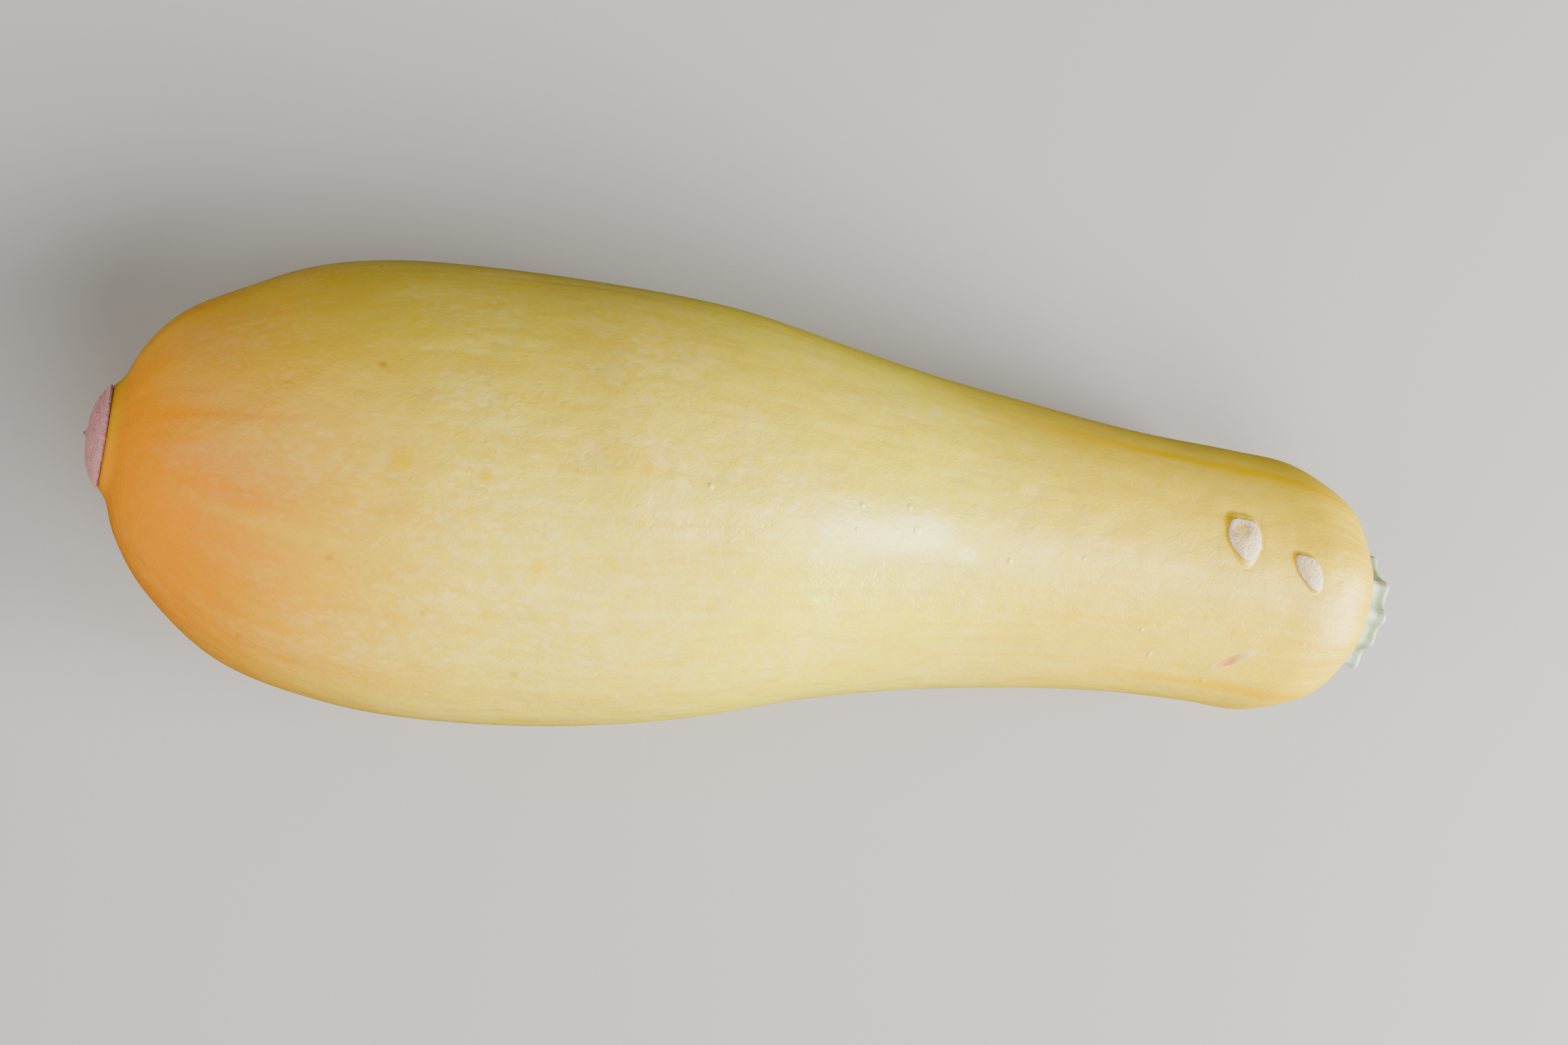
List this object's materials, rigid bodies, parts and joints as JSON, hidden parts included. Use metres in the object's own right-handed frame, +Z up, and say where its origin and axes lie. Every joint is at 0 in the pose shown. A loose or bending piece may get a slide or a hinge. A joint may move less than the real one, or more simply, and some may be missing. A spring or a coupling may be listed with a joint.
{
  "type": "yellow straightneck squash",
  "caption": "Whole yellow straightneck squash lying on its side, with a full belly, a slimmer neck, a cut ridged stem stub and a domed corky blossom scar.",
  "frame": {"origin": "under the middle of the squash as it lies, on the surface that it rests on", "axes": "+X from the blossom end to the stem, +Z up from the surface, +Y to the left of someone looking along +X"},
  "size_m": [0.1916, 0.0598, 0.0602],
  "materials": {
    "skin": "satin waxy skin, pale lemon yellow with an orange blush at the blossom end",
    "stem": "pale green ridged stem flesh, matte",
    "cork": "dry pinkish tan cork, matte"
  },
  "bodies": {
    "root": {"fruit": "skin", "stem_stub": "stem", "blossom_scar": "cork"}
  },
  "joints": []
}
